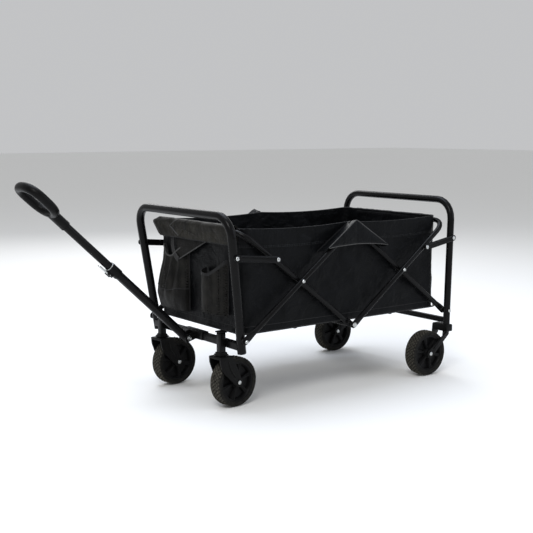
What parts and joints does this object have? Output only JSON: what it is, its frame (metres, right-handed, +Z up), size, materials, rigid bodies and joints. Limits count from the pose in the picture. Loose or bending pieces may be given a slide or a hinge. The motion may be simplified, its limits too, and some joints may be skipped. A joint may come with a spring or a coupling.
{
  "type": "folding camp wagon",
  "caption": "Folding camp wagon: black tube frame with side scissors, hung fabric tub, swivelling front casters, fixed rear wheels and a telescoping pull handle.",
  "frame": {"origin": "on the floor below the middle of the whole outline, handle included", "axes": "+X towards the rear wheels, away from the pull handle, +Y to the left of someone who looks the way the wagon is pushed backwards, +Z up"},
  "size_m": [1.3575, 0.5396, 0.6492],
  "materials": {
    "frame_steel": "satin",
    "cap_nylon": "satin",
    "fork_nylon": "satin",
    "hub_nylon": "satin",
    "grip_nylon": "satin",
    "tyre": "matte",
    "zinc_steel": "satin",
    "tub_cloth": "matte",
    "pouch_cloth": "matte",
    "mesh_cloth": "matte"
  },
  "bodies": {
    "front_frame": {"front_portal": "frame_steel", "front_cross_tube": "frame_steel", "caster_post_left": "frame_steel", "caster_post_right": "frame_steel", "post_cap_left": "cap_nylon", "post_cap_right": "cap_nylon", "handle_bracket": "frame_steel", "handle_bolt": "zinc_steel", "front_pivot_rivet_left": "zinc_steel", "front_pivot_rivet_right": "zinc_steel"},
    "caster_left": {"caster_fork_left": "fork_nylon", "axle_bolt_front_left": "zinc_steel"},
    "caster_right": {"caster_fork_right": "fork_nylon", "axle_bolt_front_right": "zinc_steel"},
    "front_wheel_left": {"tyre_front_left": "tyre", "hub_front_left": "hub_nylon"},
    "front_wheel_right": {"tyre_front_right": "tyre", "hub_front_right": "hub_nylon"},
    "front_arms": {"front_arm_left": "frame_steel", "front_arm_right": "frame_steel", "front_crossing_rivet_left": "zinc_steel", "front_crossing_rivet_right": "zinc_steel", "top_centre_rivet_left": "zinc_steel", "top_centre_rivet_right": "zinc_steel"},
    "front_u_frame": {"front_u_arm": "frame_steel", "centre_cross_tube": "frame_steel", "bottom_hub_bolt_left": "zinc_steel", "bottom_hub_bolt_right": "zinc_steel"},
    "rear_arms": {"rear_arm_left": "frame_steel", "rear_arm_right": "frame_steel", "rear_crossing_rivet_left": "zinc_steel", "rear_crossing_rivet_right": "zinc_steel"},
    "rear_u_frame": {"rear_u_arm": "frame_steel"},
    "rear_frame": {"rear_portal": "frame_steel", "rear_cross_tube": "frame_steel", "rear_fork_left": "fork_nylon", "rear_fork_right": "fork_nylon", "axle_bolt_rear_left": "zinc_steel", "axle_bolt_rear_right": "zinc_steel", "rear_pivot_rivet_left": "zinc_steel", "rear_pivot_rivet_right": "zinc_steel"},
    "rear_wheel_left": {"tyre_rear_left": "tyre", "hub_rear_left": "hub_nylon"},
    "rear_wheel_right": {"tyre_rear_right": "tyre", "hub_rear_right": "hub_nylon"},
    "front_links": {"front_link_left": "frame_steel", "front_link_right": "frame_steel"},
    "rear_links": {"rear_link_left": "frame_steel", "rear_link_right": "frame_steel"},
    "handle_lower": {"handle_lower_tube": "frame_steel", "handle_collar": "cap_nylon"},
    "handle_upper": {"handle_upper_tube": "frame_steel", "handle_grip": "grip_nylon"},
    "latch": {"latch_lever": "zinc_steel"},
    "tub": {"fabric_tub": "tub_cloth", "front_pouch": "pouch_cloth", "bottle_pocket": "mesh_cloth"}
  },
  "joints": [
    {"name": "fold", "type": "hinge", "parent": "front_frame", "child": "front_arms", "pos_m": [-0.1417, 0, 0.205], "axis": [0, -1, 0], "range_deg": [0, 43.13]},
    {"name": "front_crossing", "type": "hinge", "parent": "front_arms", "child": "front_u_frame", "pos_m": [0.0583, 0, 0.355], "axis": [0, -1, 0], "range_deg": [-86.26, 0]},
    {"name": "top_centre", "type": "hinge", "parent": "front_arms", "child": "rear_arms", "pos_m": [0.2583, 0, 0.505], "axis": [0, -1, 0], "range_deg": [-86.26, 0]},
    {"name": "bottom_hub", "type": "hinge", "parent": "front_u_frame", "child": "rear_u_frame", "pos_m": [0.2583, 0, 0.205], "axis": [0, -1, 0], "range_deg": [0, 86.26]},
    {"name": "rear_pivot", "type": "hinge", "parent": "rear_arms", "child": "rear_frame", "pos_m": [0.6583, 0, 0.205], "axis": [0, -1, 0], "range_deg": [0, 43.13]},
    {"name": "front_link_pivot", "type": "hinge", "parent": "front_frame", "child": "front_links", "pos_m": [-0.17432, 0, 0.438], "axis": [0, -1, 0], "range_deg": [0, 71.81]},
    {"name": "rear_link_pivot", "type": "hinge", "parent": "rear_frame", "child": "rear_links", "pos_m": [0.66467, 0, 0.441], "axis": [0, -1, 0], "range_deg": [-85.1, 0]},
    {"name": "tub_lift", "type": "slide", "parent": "front_frame", "child": "tub", "axis": [0, 0, 1], "range_m": [0, 0.19245], "deforming": ["fabric_tub"]},
    {"name": "caster_swivel_left", "type": "hinge", "parent": "front_frame", "child": "caster_left", "pos_m": [-0.162, 0.16, 0.153], "axis": [0, 0, 1], "continuous": true},
    {"name": "front_wheel_spin_left", "type": "hinge", "parent": "caster_left", "child": "front_wheel_left", "pos_m": [-0.11725, 0.1647, 0.072], "axis": [-0.1045, 0.9945, 0], "continuous": true},
    {"name": "rear_wheel_spin_left", "type": "hinge", "parent": "rear_frame", "child": "rear_wheel_left", "pos_m": [0.5863, 0.226, 0.072], "axis": [0, 1, 0], "continuous": true},
    {"name": "caster_swivel_right", "type": "hinge", "parent": "front_frame", "child": "caster_right", "pos_m": [-0.162, -0.16, 0.153], "axis": [0, 0, 1], "continuous": true},
    {"name": "front_wheel_spin_right", "type": "hinge", "parent": "caster_right", "child": "front_wheel_right", "pos_m": [-0.11725, -0.1553, 0.072], "axis": [-0.1045, 0.9945, 0], "continuous": true},
    {"name": "rear_wheel_spin_right", "type": "hinge", "parent": "rear_frame", "child": "rear_wheel_right", "pos_m": [0.5863, -0.226, 0.072], "axis": [0, 1, 0], "continuous": true},
    {"name": "handle_pitch", "type": "hinge", "parent": "front_frame", "child": "handle_lower", "pos_m": [-0.1777, 0, 0.181], "axis": [0, 1, 0], "range_deg": [-50, 40]},
    {"name": "handle_telescope", "type": "slide", "parent": "handle_lower", "child": "handle_upper", "axis": [-0.7314, 0, 0.682], "range_m": [-0.16, 0]},
    {"name": "latch_press", "type": "hinge", "parent": "handle_lower", "child": "latch", "pos_m": [-0.42501, 0, 0.38647], "axis": [0, 1, 0], "range_deg": [0, 5], "stiffness_Nm_per_rad": 2, "springref_deg": -2.86}
  ],
  "couplings": [
    {"joint": "front_crossing", "follows": "fold", "ratio": -2},
    {"joint": "top_centre", "follows": "fold", "ratio": -2},
    {"joint": "bottom_hub", "follows": "fold", "ratio": 2},
    {"joint": "rear_pivot", "follows": "fold", "ratio": 1},
    {"joint": "front_link_pivot", "follows": "fold", "ratio": 1.6648},
    {"joint": "rear_link_pivot", "follows": "fold", "ratio": -1.9732},
    {"joint": "tub_lift", "follows": "fold", "m_per_rad": 0.2556}
  ]
}
